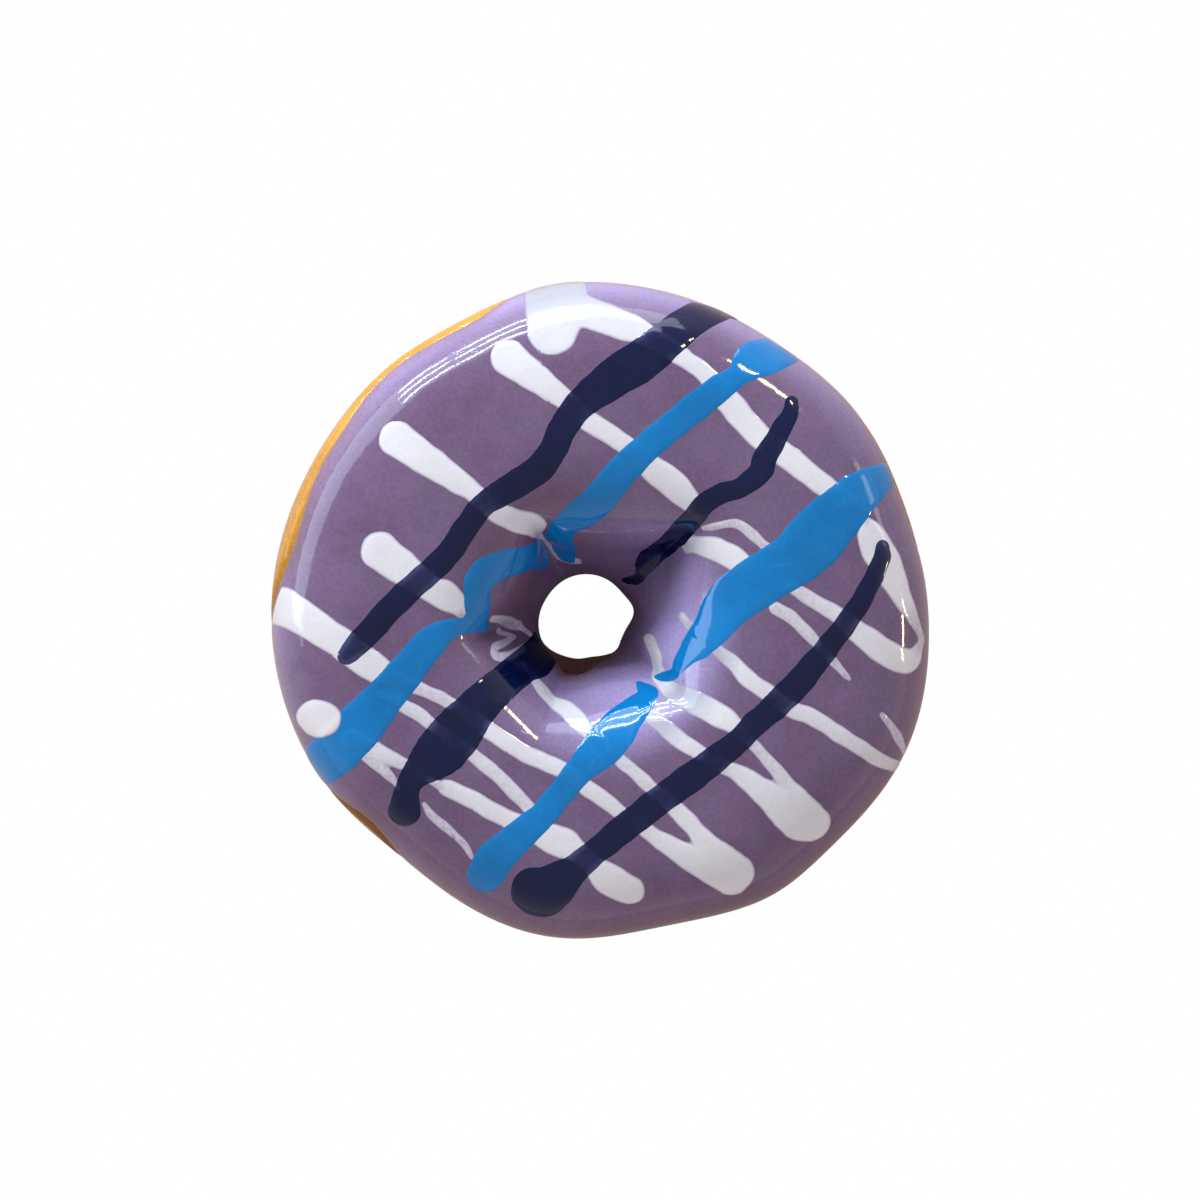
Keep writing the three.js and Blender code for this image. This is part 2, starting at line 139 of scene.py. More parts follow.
# %% Section
def section_place(phi):
    across = np.cos(phi)
    up = np.sin(phi)
    outer = across >= 0
    top = up >= 0
    exponent = np.where(top, np.where(outer, OUTER_TOP, INNER_TOP), np.where(outer, OUTER_LOW, INNER_LOW))
    reach = np.where(outer, 1 - CROWN_AT, CROWN_AT)
    side = np.where(outer, WIDEST_HEIGHT, THROAT_HEIGHT)
    rise = np.where(top, HEIGHT - side, side + BASE_CUT)
    share = CROWN_AT + np.sign(across) * reach * np.abs(across) ** (2 / exponent)
    return share, side + np.sign(up) * rise * np.abs(up) ** (2 / exponent)


def section_angle(share):
    outer = share >= CROWN_AT
    across = (share - CROWN_AT) / np.where(outer, 1 - CROWN_AT, CROWN_AT)
    exponent = np.where(outer, OUTER_TOP, INNER_TOP)
    return np.arccos(np.sign(across) * np.minimum(1, np.abs(across)) ** (exponent / 2))


# %% [markdown]
# The creases and dents. Both lower the skin by a depth that fades out smoothly. They could be cut in with
# a sculpting brush, but a formula puts the same crease into the clay, the coat and the drizzle alike.

# %% Creases and dents
# A crease is a narrow valley between two swelling lobes, so its floor is sharp and its sides are round
CREASE_FLOOR = 0.25
# It keeps its depth up to this share of its reach, and widens all along it
FOLD_START = 0.35
FOLD_NARROW, FOLD_SPREAD = 0.6, 0.8
# A crease opens over this distance from the hole's centre line
FOLD_OPEN = 7.0
# Creases and dents fade in between these sines of phi, so that the sides stay whole
WALL_FADE = (0.03, 0.5)


def smooth_step(value, low, high):
    t = np.clip((value - low) / (high - low), 0, 1)
    return t * t * (3 - 2 * t)


def fold_depth(x, y, rise):
    dx = x - HOLE_X
    dy = y - HOLE_Y
    distance = np.hypot(dx, dy)
    total = np.zeros_like(x)
    for at, reach, depth, half in FOLDS:
        along = dx * cos(radians(at)) + dy * sin(radians(at))
        aside = -dx * sin(radians(at)) + dy * cos(radians(at))
        width = half * (FOLD_NARROW + FOLD_SPREAD * distance / reach)
        fade = 1 - smooth_step(distance, FOLD_START * reach, reach)
        valley = np.exp(CREASE_FLOOR - np.hypot(aside / width, CREASE_FLOOR))
        total += depth * fade * valley * smooth_step(along, 0, FOLD_OPEN)
    return total * smooth_step(rise, *WALL_FADE)


def dent_depth(x, y, rise):
    total = np.zeros_like(x)
    for at_x, at_y, depth, half_x, half_y in DENTS:
        total += depth * np.exp(-((x - at_x) / half_x) ** 2 - ((y - at_y) / half_y) ** 2)
    return total * smooth_step(rise, *WALL_FADE)


# %% [markdown]
# The skin itself. Every piece lies on it or a little over or under it, so one function gives the place for
# two angles and a lift along the section's normal. The normal comes from two nearby points of the section.

# %% Places on the skin
ANGLE_STEP = 0.001


def skin_places(theta, phi, lift):
    share, height = section_place(phi)
    share_before, height_before = section_place(phi - ANGLE_STEP)
    share_after, height_after = section_place(phi + ANGLE_STEP)
    d_across = (share_after - share_before) * (outline_radius(theta) - hole_radius(theta))
    d_height = height_after - height_before
    length = np.hypot(d_across, d_height)
    x, y = plan_place(theta, share)
    rise = np.sin(phi)
    move = lift - fold_depth(x, y, rise) - dent_depth(x, y, rise)
    outward = move * d_height / length
    z = np.maximum(0, height - move * d_across / length)
    return np.stack([x + outward * np.cos(theta), y + outward * np.sin(theta), z], axis=1)


# %% [markdown]
# Steps of equal length. Equal steps of phi would bunch up where the section bends and leave long faces on
# the flat top, so the length along a section of mean width is measured once and looked up both ways.

# %% Steps of equal length
LENGTH_STEPS = 60000
MEAN_SPAN = OUTER_RADIUS - HOLE_RADIUS
fine_phi = np.linspace(-pi, 2 * pi, LENGTH_STEPS + 1)
fine_share, fine_height = section_place(fine_phi)
fine_steps = np.hypot(np.diff(fine_share) * MEAN_SPAN, np.diff(fine_height))
fine_length = np.concatenate([[0], np.cumsum(fine_steps)])


def length_at(phi):
    return np.interp(phi, fine_phi, fine_length)


def phi_at(length):
    return np.interp(length, fine_length, fine_phi)


def phi_between_hems(theta, share):
    start = length_at(outer_hem(theta))
    end = length_at(inner_hem(theta))
    return phi_at(start + (end - start) * share), np.minimum(share, 1 - share) * (end - start)


print("length round the section", round(float(length_at(2 * pi) - length_at(0)), 1))

# %% [markdown]
# Every piece starts as a flat grid. One way across it becomes the way round the ring and the other the way
# round the section. A section could also be spun round Z, which takes far longer for meshes this fine.
# The grid is bent on to the skin, and the two rows that meet are then welded.

# %% Helpers: bend a grid round the ring
SEAM_GAP = 0.000001


def mesh_object(name, bm):
    mesh = bpy.data.meshes.new(name)
    bm.to_mesh(mesh)
    bm.free()
    piece = bpy.data.objects.new(name, mesh)
    bpy.context.scene.collection.objects.link(piece)
    return piece


def grid_piece(name, turn_steps, section_steps):
    bm = bmesh.new()
    bmesh.ops.create_grid(bm, x_segments=turn_steps, y_segments=section_steps, size=0.5)
    piece = mesh_object(name, bm)
    places = np.empty(len(piece.data.vertices) * 3)
    piece.data.vertices.foreach_get("co", places)
    places = places.reshape(-1, 3)
    return piece, 2 * pi * (places[:, 0] + 0.5), np.rint((places[:, 1] + 0.5) * section_steps).astype(int)


def set_places(piece, places, values):
    piece.data.vertices.foreach_set("co", (places * MM).ravel())
    for key, value in values.items():
        attribute = piece.data.attributes.new(key, "FLOAT", "POINT")
        attribute.data.foreach_set("value", value.astype(np.float32))


def close_seams(piece, left_out=()):
    bm = bmesh.new()
    bm.from_mesh(piece.data)
    bm.verts.ensure_lookup_table()
    bmesh.ops.delete(bm, geom=[bm.verts[index] for index in left_out], context="VERTS")
    bmesh.ops.delete(bm, geom=[vert for vert in bm.verts if not vert.link_faces], context="VERTS")
    bmesh.ops.remove_doubles(bm, verts=bm.verts, dist=SEAM_GAP)
    bm.to_mesh(piece.data)
    bm.free()
    piece.data.polygons.foreach_set("use_smooth", [True] * len(piece.data.polygons))
    print(piece.name, "faces", len(piece.data.polygons))


# %% [markdown]
# Where light and shade are painted. The rim and the slope that face the window are painted lighter as
# painted light, and the sides across from them are painted darker as painted shade. The clay is painted
# darker, as shade, on the side away from the light. Painting this by hand would be tied to one mesh. Here
# each share is worked out from the two angles and is kept on the mesh as an attribute for the materials.

# %% Helpers: sides of the ring
# The shoulder begins and is complete at these angles round the section
SHOULDER = (0.35, 0.95)
# The slope into the hole, as distances from the hole's centre
SLOPE_BEGINS = (6.5, 10.0)
SLOPE_ENDS = (14.0, 24.0)
# Directions that face the window light. The coat is painted lighter towards them as painted light, and
# darker on the sides across from them as painted shade.
LIT_SLOPE_AT = -35
LIT_RIM_AT = 115
RIM_PAINTED_LIGHT = 0.82
# The clay is painted palest towards this direction, where the light comes from, and darker away from it, as
# painted shade
LIT_CLAY_AT = 105


def side_share(theta, at):
    return 0.5 + 0.5 * np.cos(theta - radians(at))


def slope_share(theta, phi, begins, ends):
    x, y = plan_place(theta, section_place(phi)[0])
    from_hole = np.hypot(x - HOLE_X, y - HOLE_Y)
    return smooth_step(from_hole, *begins) * (1 - smooth_step(from_hole, *ends)) * (phi < pi)


# %% [markdown]
# The clay ring. On the real object it is the cast body, which shows as an ochre band under the icing and as
# a wall low in the hole. Its brown low down, in the hole and on the side away from the light is painted
# shade. Under the coat the clay lies lower, and past the hem it swells back out to its full size, so the
# coat's edge stands proud of it.

# %% Clay ring
RING_TURN_STEPS = 360
RING_SECTION_STEPS = 160

clay_ring, theta, step = grid_piece("clay_ring", RING_TURN_STEPS, RING_SECTION_STEPS)
start = length_at(0.0)
phi = phi_at(start + (length_at(2 * pi) - start) * step / RING_SECTION_STEPS)
past_outer = np.where(phi > pi, outer_hem(theta) + 2 * pi - phi, outer_hem(theta) - phi)
past_inner = phi - inner_hem(theta)
past_hem = np.where(past_inner > 0, np.minimum(past_inner, past_outer), past_outer)
clay_lift = -CLAY_BELOW_COAT * (1 - smooth_step(past_hem, 0, HEM_RAMP))
# Painted shade: the clay is darker on the side away from the light
clay_shaded_side = 1 - side_share(theta, LIT_CLAY_AT)
set_places(clay_ring, skin_places(theta, phi, clay_lift), {"clay_shaded_side": clay_shaded_side})
close_seams(clay_ring)

# %% [markdown]
# The icing coat. On the real object it is a thicker, raised glaze that stops in a rounded, wavy hem. Its
# section is a thin closed loop, along the skin from hem to hem and back under it, with rounded ends. Each
# step of the grid carries the share of the way between the hems and the height above the skin.

# %% Icing coat
COAT_TURN_STEPS = 480
COAT_FACE_STEPS = 130
COAT_BACK_STEPS = 16
EDGE_ROUND_STEPS = 6
# The outer face curves down to the hem over this share of the coat's width
EDGE_ROUND_SHARE = 0.018

quarter = 1 - np.cos(np.linspace(0, pi / 2, EDGE_ROUND_STEPS, endpoint=False))
face_shares = np.concatenate([
    EDGE_ROUND_SHARE * quarter,
    np.linspace(EDGE_ROUND_SHARE, 1 - EDGE_ROUND_SHARE, COAT_FACE_STEPS),
    1 - EDGE_ROUND_SHARE * quarter[::-1],
])
from_edge = np.clip(np.minimum(face_shares, 1 - face_shares) / EDGE_ROUND_SHARE, 0, 1)
face_lifts = -COAT_THICKNESS * (1 - np.sqrt(1 - (1 - from_edge) ** 2))
back_shares = np.linspace(1, 0, COAT_BACK_STEPS)[1:]
loop_shares = np.concatenate([face_shares, back_shares])
loop_lifts = np.concatenate([face_lifts, np.full(len(back_shares), -COAT_THICKNESS)])

icing_coat, theta, step = grid_piece("icing_coat", COAT_TURN_STEPS, len(loop_shares) - 1)
share = loop_shares[step]
phi, from_hem = phi_between_hems(theta, share)
on_slope = slope_share(theta, phi, SLOPE_BEGINS, SLOPE_ENDS)
shoulder = 1 - smooth_step(phi, *SHOULDER)
slope_lit_side = side_share(theta, LIT_SLOPE_AT)
rim_lit_side = side_share(theta, LIT_RIM_AT)
# thin is painted light on the rim and slope that face the window, and the next share is painted shade on
# the sides across from them
thin = np.maximum(RIM_PAINTED_LIGHT * shoulder * rim_lit_side, on_slope * slope_lit_side)
painted_shade_side = np.maximum(shoulder * (1 - rim_lit_side), on_slope * (1 - slope_lit_side))
set_places(icing_coat, skin_places(theta, phi, loop_lifts[step]),
           {"from_hem": from_hem, "thin": thin, "painted_shade_side": painted_shade_side})
close_seams(icing_coat)

# %% [markdown]
# The drizzle lines. Each one is given by the few places where it bends or swells, as x, y and width in
# millimetres, seen from above. They are nearly the same lines as in the solids. A smooth curve through them
# gives the rest.

# %% Lines of drizzle
WHITE_LINES = [
    [(-7.5, 42, 7.4), (-7, 46, 9.2), (-7, 50.5, 9.6)],
    [(-5.5, 46, 5.4), (2.5, 43, 4.6), (6, 41.5, 3.8), (14, 36.5, 2.8),
     (18.5, 31.5, 4), (23, 26.5, 3.8), (27, 23.5, 3.8), (36, 16.5, 3.2)],
    [(-14, 38, 5.4), (-6, 32, 3.4), (-2, 28.5, 3.2), (3.5, 25, 3),
     (7.5, 21.5, 4), (10, 19.5, 4.4), (12.5, 17, 3.6), (13.5, 15, 1.8)],
    [(14.5, 12.5, 0.8), (19.5, 13.5, 1.4), (23.5, 10.5, 1.6), (25.5, 9, 0.8)],
    [(9.8, 8.2, 2), (12.4, 9.5, 2.8), (17, 9.4, 3.8), (20.9, 7, 3.4), (22.8, 4.6, 1)],
    [(-30.5, 26, 5.4), (-22.5, 20.5, 4), (-19, 18, 3), (-15.5, 15, 3.2),
     (-10.5, 13, 3.8), (-9, 11, 2.2), (-8.2, 9.6, 1), (-6.8, 7.6, 0.7), (-5.7, 6.2, 0.8), (-4.8, 5.9, 1.4),
     (-3.2, 6.3, 0.8)],
    [(-33, 9.5, 5.8), (-25.5, 4, 4.2), (-23.5, 3, 4.4), (-21.5, 1.5, 3.2), (-21, 0, 1.2)],
    [(-50.5, 1, 5.8), (-47.5, 1, 6), (-44.5, -0.5, 5.2), (-39, -4, 4.8), (-33.5, -8, 4.4),
     (-30.5, -9.5, 2.4), (-22.5, -13, 2), (-17, -17, 2.6), (-11.5, -20.5, 2.6), (-6, -23, 2.6),
     (-0.5, -27, 2.6), (5, -31, 2.2), (11, -35, 3.6), (19, -39, 6)],
    [(-32.5, -12, 2), (-27.5, -14.5, 2.2), (-25, -16.5, 2), (-16.5, -23, 2.2), (-9.5, -30, 2)],
    [(-37, -18.5, 3.2), (-29.5, -22, 2), (-24.5, -25, 1.4), (-22, -26, 2.8), (-11.5, -31.5, 3),
     (-6.5, -33.5, 4.8), (-4, -35, 3.6), (-1.5, -37, 3.2), (0.5, -39, 4.8), (4, -41, 4.4)],
    [(-35.5, -20.5, 2), (-31.5, -24, 1.4), (-30, -26, 0.6)],
    [(-26.5, -28, 0.8), (-25, -30, 1.4), (-21, -33.5, 1.2), (-19.5, -36, 0.8)],
    [(-15.5, -0.8, 1.2), (-11.7, -1.3, 1.1), (-9.6, -2.3, 1.1), (-8.2, -3.4, 0.8), (-6, -3.4, 0.6)],
    [(-12.7, -2.4, 0.6), (-11, -3.1, 0.8), (-12.4, -3.9, 0.8), (-15.2, -4.8, 1.2), (-15.4, -6.1, 1.5),
     (-13.3, -6.1, 1.5), (-10.2, -4.9, 1.4)],
    [(-11.5, -7.5, 1.2), (-9, -10.5, 1.8), (-5.5, -13.5, 2.6), (-3.5, -16, 2.8), (-1.5, -18, 2),
     (2, -21, 2), (7, -25.5, 2.2), (12, -30, 2.8), (14.5, -33, 3.2), (19.5, -38.5, 6.2)],
    [(6, -3.9, 1.6), (6.7, -5.8, 2.6), (6.6, -7.4, 2.4), (8.6, -9.9, 2.4), (10.5, -11.5, 3.2),
     (16.5, -14.5, 3.8), (19.5, -16.5, 2.8), (22, -19, 1.8), (27.5, -25.5, 2.6), (31, -31, 6)],
    [(6.5, -14.5, 2.6), (12, -19, 2.6), (17, -22, 2.2), (21.5, -24.5, 3.2), (29, -30.5, 6.4)],
    [(11, -0.5, 1.2), (16.5, -5, 2), (19, -7, 2.2), (21.5, -9.5, 2.6),
     (28, -14, 2.6), (31.5, -15.5, 2.6), (40, -21, 2.4), (45, -23.5, 1.8)],
    [(25.5, 1, 2), (28.5, -1, 2), (35, -8, 1.2), (36.5, -9.5, 0.6)],
    [(28, 4, 2), (34.5, 0, 2.6), (37, -2, 3.4), (42.5, -6, 4), (45.5, -7, 3.8), (47, -5.5, 2),
     (47.5, -3, 1.2), (44, 3.5, 3.6), (42, 7.5, 5), (40, 11, 4.8), (39, 13.5, 2)],
    [(41.5, -15, 0.8), (43.5, -17.5, 1.4), (46, -21.5, 1)],
]
DROP_LINES = [[(-43, -15.4, 5.4), (-42.2, -15.4, 5.8), (-41.4, -15.4, 5.4)]]
BLUE_LINES = [
    [(28, 39, 3.6), (25, 38.5, 5.4), (22, 37.5, 5.4), (20, 35.5, 3.2), (16.5, 33, 4.2),
     (9, 27, 4.2), (3.5, 22, 4.6), (-1.5, 16, 5), (-5.2, 13, 4), (-5.8, 10.1, 3.2),
     (-5, 7.8, 2.5), (-4.7, 6.6, 2.2)],
    [(-6.9, 5.7, 1.4), (-8, 6.5, 2.6), (-10, 7.7, 3.4), (-14.1, 7.5, 4.2), (-17.8, 5.8, 4.6),
     (-18.6, 2.8, 4.2), (-18.2, -0.4, 3.8)],
    [(-16, -2, 1.2), (-18.5, -1.5, 2.2), (-22.5, -2, 3), (-25.5, -4, 4.6),
     (-31, -10.5, 5.6), (-37.5, -18, 7.2), (-42.5, -23, 6.6)],
    [(45.5, 21, 4.2), (42.5, 20.5, 4), (37.5, 17.5, 6.8), (31.5, 11.5, 8.8), (28.5, 8.5, 8),
     (19.4, 2.5, 7.4), (15.2, -3, 5.4), (12.5, -5.7, 3.4), (10.9, -7.4, 2.2), (9.8, -8.5, 1.8),
     (7.5, -8.4, 1.2), (6.3, -8, 0.5)],
    [(5, -9.8, 0.8), (6.4, -11.3, 2.6), (6.2, -12.6, 3.2), (4.8, -14, 4), (2.8, -16.2, 5.2), (0.5, -19, 6),
     (-4, -23.5, 4.2), (-9, -29.5, 4), (-15.5, -35.5, 5.4), (-17.5, -38.5, 5.6)],
]
NAVY_LINES = [
    [(19.5, 47, 4.8), (13, 43.5, 5), (5.5, 37.5, 6.2), (1.5, 35, 5.8), (-4.5, 30, 4.4), (-8, 23.5, 4.2),
     (-11, 20.5, 4.4), (-18, 16, 3.6), (-23, 9, 3.8), (-30, 2.5, 3.8), (-36, -4, 3.6), (-38, -6, 2.6)],
    [(28, 31.5, 2), (27.5, 29.5, 2.6), (24, 23.5, 3.6), (23, 21, 3.6), (20.5, 19, 3), (17.5, 18, 3),
     (15, 16.5, 3.2), (13, 14, 3.2), (10.5, 11.2, 3.2), (7.2, 7.7, 2.5),
     (4.4, 5.2, 2.2), (3.6, 3.8, 1.6), (2.7, 2.6, 1.2), (1.2, 2, 0.8)],
    [(-7, -4.5, 3.6), (-9, -6.5, 5.2), (-12.5, -8.5, 5), (-18.5, -13.5, 6),
     (-23.5, -19.5, 7.6), (-28.5, -24.5, 3.8), (-29.5, -29, 4.8)],
    [(41.5, 10, 2.2), (41, 7.5, 2.8), (37.5, 1, 3.2), (33, -5, 3.6), (28, -11, 4.2),
     (22, -16.5, 3.8), (19.5, -19, 3.8), (13, -24, 4.4), (9.5, -26.5, 4.4), (2.5, -32, 4.2),
     (-3.5, -37, 4.2), (-8.5, -41, 7.6), (-10, -41, 7.4)],
]
print("lines", len(WHITE_LINES) + len(BLUE_LINES) + len(NAVY_LINES) + len(DROP_LINES))

# %% [markdown]
# A glaze line has soft, wetted edges that run together where two lines meet. Strips laid over each other
# would show every seam. Instead each colour is one thin sheet: the distance from the nearest line's edge is
# worked out over the coat, the sheet rises where that distance is inside a line, and it dips under the
# coat just outside, so its visible edge is the smooth contour where it comes out.

# %% Helper: a smooth curve through a line
SPAN_STEPS = 6


def smooth_line(line):
    points = np.array(line, dtype=float)
    first = 2 * points[0] - points[1]
    last = 2 * points[-1] - points[-2]
    points = np.vstack([first, points, last])
    t = np.linspace(0, 1, SPAN_STEPS, endpoint=False)[:, None]
    spans = []
    for a, b, c, d in zip(points, points[1:], points[2:], points[3:]):
        spans.append(0.5 * (2 * b + (c - a) * t + (2 * a - 5 * b + 4 * c - d) * t ** 2
                            + (3 * b - a - 3 * c + d) * t ** 3))
    return np.vstack(spans + [points[-2:-1]])


# %% [markdown]
# The lines are drawn as seen from above, but the rim and the wall of the hole are steep there, and a line
# drawn that way would smear down them. So the plan is unrolled: past the rim and in the throat, the way
# down the side counts as if it went on outwards or inwards.

# %% Helper: the unrolled plan
# Shares of the way from the hole to the rim beyond which the side is unrolled
RIM_SHARE = 0.985
THROAT_SHARE = 0.02
# Millimetres of the plan for each radian of phi on the side
SIDE_ARC = 20.0


def unrolled(theta, phi):
    share, _ = section_place(phi)
    span = outline_radius(theta) - hole_radius(theta)
    rim_angle = float(section_angle(np.array([RIM_SHARE]))[0])
    throat_angle = float(section_angle(np.array([THROAT_SHARE]))[0])
    over_rim = RIM_SHARE + (rim_angle - phi) * SIDE_ARC / span
    in_hole = THROAT_SHARE - (phi - throat_angle) * SIDE_ARC / span
    share = np.where(phi < rim_angle, over_rim, np.where(phi > throat_angle, in_hole, share))
    return plan_place(theta, share)


# %% [markdown]
# How far a point lies inside the lines. It is positive inside, nought on the edge and negative outside. Two
# lines of one colour that touch run into each other, which a smooth maximum of their distances gives. The
# edge of a brushed line isn't ruled, so a slight wobble is added everywhere.

# %% Helper: distance inside the lines
# Distances that differ by less than this are blended
MERGE = 0.5
# A line is only looked for this far round itself, as everything beyond is far outside
SEARCH_MARGIN = 3.0
FAR_OUTSIDE = -9.0
WOBBLE = 0.05
# Two crossing waves that bend each other: frequency, bend, and frequency of the bend
WOBBLE_ALONG_X = (1.3, 1.3, 0.9)
WOBBLE_ALONG_Y = (1.6, 1.1, 1.2)


def bent_wave(along, aside, frequency, bend, bend_frequency):
    return np.sin(frequency * along + bend * np.sin(bend_frequency * aside))


def merged(one, other):
    blend = np.clip(0.5 + 0.5 * (one - other) / MERGE, 0, 1)
    return other * (1 - blend) + one * blend + MERGE * blend * (1 - blend)


def inside_lines(x, y, lines):
    field = np.full_like(x, FAR_OUTSIDE)
    body = np.zeros_like(x)
    wobble = WOBBLE * (bent_wave(x, y, *WOBBLE_ALONG_X) + bent_wave(y, x, *WOBBLE_ALONG_Y))
    for line in lines:
        points = smooth_line(line)
        reach = SEARCH_MARGIN + points[:, 2].max() / 2
        low = points[:, :2].min(axis=0) - reach
        high = points[:, :2].max(axis=0) + reach
        near = np.flatnonzero((x > low[0]) & (x < high[0]) & (y > low[1]) & (y < high[1]))
        inside = np.full(len(near), FAR_OUTSIDE)
        half = np.zeros(len(near))
        for a, b in zip(points, points[1:]):
            way = b[:2] - a[:2]
            length = max(float(way @ way), 1e-9)
            t = np.clip(((x[near] - a[0]) * way[0] + (y[near] - a[1]) * way[1]) / length, 0, 1)
            half_here = (a[2] + t * (b[2] - a[2])) / 2
            inside_here = half_here - np.hypot(x[near] - a[0] - t * way[0], y[near] - a[1] - t * way[1])
            half = np.where(inside_here > inside, half_here, half)
            inside = np.maximum(inside, inside_here)
        body[near] = np.where(inside > field[near], half, body[near])
        field[near] = merged(field[near], inside)
    return field + wobble, body


# %% [markdown]
# Each sheet starts as a grid along the coat. The points far from any line are deleted, the rest are
# lifted, and a Solidify modifier gives the sheet its thickness, downwards into the coat. A line that
# crosses another one rides up over it, as a later coat of glaze does. Fired glazes melt almost level with
# each other, so they stand only a tenth of a millimetre proud.

# %% Helper: glaze sheet
SHEET_TURN_STEPS = 860
SHEET_SECTION_STEPS = 200
# The sheets lie between these shares of the way from hem to hem, and go on this far outside a line
SHEET_SHARES = (0.035, 0.985)
SHEET_MARGIN = 0.6
SHEET_THICKNESS = 0.4
# A line rises from its edge over about this distance
EDGE_SOFTNESS = 0.4


def dome(inside, rise):
    top = rise * (1 - np.exp(-np.maximum(inside, 0) / EDGE_SOFTNESS))
    return np.where(inside > 0, top, rise * inside / EDGE_SOFTNESS)


def sheet_grid(name):
    piece, theta, step = grid_piece(name, SHEET_TURN_STEPS, SHEET_SECTION_STEPS)
    share = SHEET_SHARES[0] + (SHEET_SHARES[1] - SHEET_SHARES[0]) * step / SHEET_SECTION_STEPS
    return piece, theta, phi_between_hems(theta, share)[0]


def glaze_sheet(name, inside, body, under_top, rise, **more_values):
    piece, theta, phi = sheet_grid(name)
    values = {"inside": inside, "body": body, **more_values}
    set_places(piece, skin_places(theta, phi, under_top + dome(inside, rise)), values)
    close_seams(piece, np.flatnonzero(inside < -SHEET_MARGIN).tolist())
    thickness = piece.modifiers.new("thickness", "SOLIDIFY")
    thickness.thickness = SHEET_THICKNESS * MM
    thickness.offset = -1
    return piece


# %% [markdown]
# The distances over the coat, worked out once for each colour on one spare grid. The sheets are made on the
# same grid, so the values fit them point by point.

# %% Distances over the coat
pattern, theta, phi = sheet_grid("pattern")
flat_x, flat_y = unrolled(theta, phi)
inside_white, body_white = inside_lines(flat_x, flat_y, WHITE_LINES)
inside_blue, body_blue = inside_lines(flat_x, flat_y, BLUE_LINES)
inside_navy, body_navy = inside_lines(flat_x, flat_y, NAVY_LINES)
inside_drop, body_drop = inside_lines(flat_x, flat_y, DROP_LINES)
bpy.data.objects.remove(pattern)
print("points inside white", int((inside_white > 0).sum()), "of", len(phi))

# %% [markdown]
# The four sheets. Besides its shape each one carries what its material needs to know: how far a point is
# inside a line, the half-width of the line there, and how far inside a white line underneath.

# %% Glaze sheets
RISE = {"white": 0.12, "blue": 0.13, "navy": 0.13}
# The white lines are painted darker where they face the window, which holds their light down there. This
# covers a narrower range of directions than the purple's painted light, so they have a shoulder and a slope
# of their own, and a higher power of the share
WHITE_SHOULDER = (0.5, 1.35)
WHITE_SLOPE = ((13, 16.5), (18, 24))
WHITE_FOCUS = 4

white_lit_rim = (1 - smooth_step(phi, *WHITE_SHOULDER)) * side_share(theta, LIT_RIM_AT) ** WHITE_FOCUS
white_lit_slope = slope_share(theta, phi, *WHITE_SLOPE) * side_share(theta, LIT_SLOPE_AT) ** WHITE_FOCUS
white_thin_side = np.maximum(white_lit_rim, white_lit_slope)

white_top = np.maximum(dome(inside_white, RISE["white"]), 0)
blue_top = white_top + np.maximum(dome(inside_blue, RISE["blue"]), 0)
white_drizzle = glaze_sheet(
    "white_drizzle", inside_white, body_white, 0, RISE["white"], thin_side=white_thin_side)
blue_drizzle = glaze_sheet(
    "blue_drizzle", inside_blue, body_blue, white_top, RISE["blue"], over_white=inside_white)
navy_drizzle = glaze_sheet(
    "navy_drizzle", inside_navy, body_navy, blue_top, RISE["navy"], over_white=inside_white)
white_drop = glaze_sheet("white_drop", inside_drop, body_drop, blue_top, RISE["white"])

# %% [markdown]
# Shared effects of the glazes. A fired glaze is never one flat colour: it is finely speckled, it pools in
# places, it is crossed by a net of hairline cracks, and small bubbles leave pinholes. Painting each of
# these per material would repeat the same nodes, so each is a node group that puts out only masks and
# heights, and every glaze uses it with values of its own.

# %% Helpers: node groups
# Every group takes the place in the glaze and puts out plain numbers
def new_group(name, outputs):
    group = bpy.data.node_groups.new(name, "ShaderNodeTree")
    group.interface.new_socket("Place", in_out="INPUT", socket_type="NodeSocketVector")
    for label in outputs:
        group.interface.new_socket(label, in_out="OUTPUT", socket_type="NodeSocketFloat")
    return group, group.nodes.new("NodeGroupInput").outputs["Place"], group.nodes.new("NodeGroupOutput")


def math_node(tree, operation, first, second):
    node = tree.nodes.new("ShaderNodeMath")
    node.operation = operation
    for socket, value in zip(node.inputs, (first, second)):
        if isinstance(value, (int, float)):
            socket.default_value = value
        else:
            tree.links.new(value, socket)
    return node.outputs[0]


def ramp_value(tree, value, low, high, to_low=0.0, to_high=1.0):
    node = tree.nodes.new("ShaderNodeMapRange")
    node.interpolation_type = "SMOOTHSTEP"
    node.inputs["From Min"].default_value = low
    node.inputs["From Max"].default_value = high
    node.inputs["To Min"].default_value = to_low
    node.inputs["To Max"].default_value = to_high
    tree.links.new(value, node.inputs["Value"])
    return node.outputs["Result"]


def mix_colour(tree, share, first, second):
    node = tree.nodes.new("ShaderNodeMix")
    node.data_type = "RGBA"
    for socket, value in ((node.inputs[0], share), (node.inputs[6], first), (node.inputs[7], second)):
        if isinstance(value, (int, float, tuple)):
            socket.default_value = value
        else:
            tree.links.new(value, socket)
    return node.outputs[2]


def noise(tree, place, scale, detail, roughness=0.5):
    node = tree.nodes.new("ShaderNodeTexNoise")
    node.inputs["Scale"].default_value = scale
    node.inputs["Detail"].default_value = detail
    node.inputs["Roughness"].default_value = roughness
    tree.links.new(place, node.inputs["Vector"])
    return node.outputs["Fac"]


# %% Helper: colour
# Blender's colour sockets are linear, and colour pickers show sRGB
def colour(red, green, blue):
    def linear(value):
        value /= 255
        return value / 12.92 if value <= 0.04045 else ((value + 0.055) / 1.055) ** 2.4
    return (linear(red), linear(green), linear(blue), 1.0)


# %% Group: speckle
SPECKLE_SCALE = 1900
MOTTLE_SCALE = 300
POOL_SCALE = 60
GRAIN_RANGE = (0.3, 0.7)
POOL_RANGE = (0.35, 0.65)


